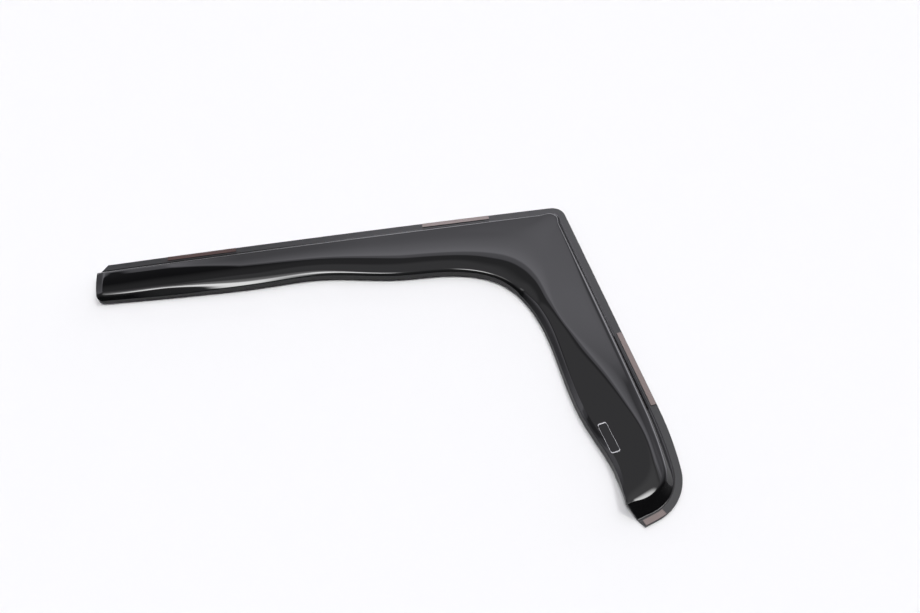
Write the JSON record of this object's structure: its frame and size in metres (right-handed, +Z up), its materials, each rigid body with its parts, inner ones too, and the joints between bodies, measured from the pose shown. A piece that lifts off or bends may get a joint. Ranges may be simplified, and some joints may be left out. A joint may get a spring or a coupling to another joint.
{
  "type": "window rain deflector",
  "caption": "Smoked acrylic rain deflector for a vehicle door window: bent crowned shell with a taped flange, a turned-down free edge and a closed lower end.",
  "frame": {"origin": "under the middle of the overall box, on the plane that the flange rests on", "axes": "+X along the long arm towards the corner, +Y from the free edge towards the flange of the long arm, +Z up out of the outer face"},
  "size_m": [0.7516, 0.5367, 0.0179],
  "materials": {
    "smoked_acrylic": "polished, dark smoked, slightly see-through",
    "badge_film": "thin clear film with a pale outline, bare",
    "foam_tape": "matt foam tape with its liner"
  },
  "bodies": {
    "root": {"shell": "smoked_acrylic", "badge": "badge_film", "tape_front": "foam_tape", "tape_rear": "foam_tape", "tape_pillar": "foam_tape", "tape_end": "foam_tape"}
  },
  "joints": []
}
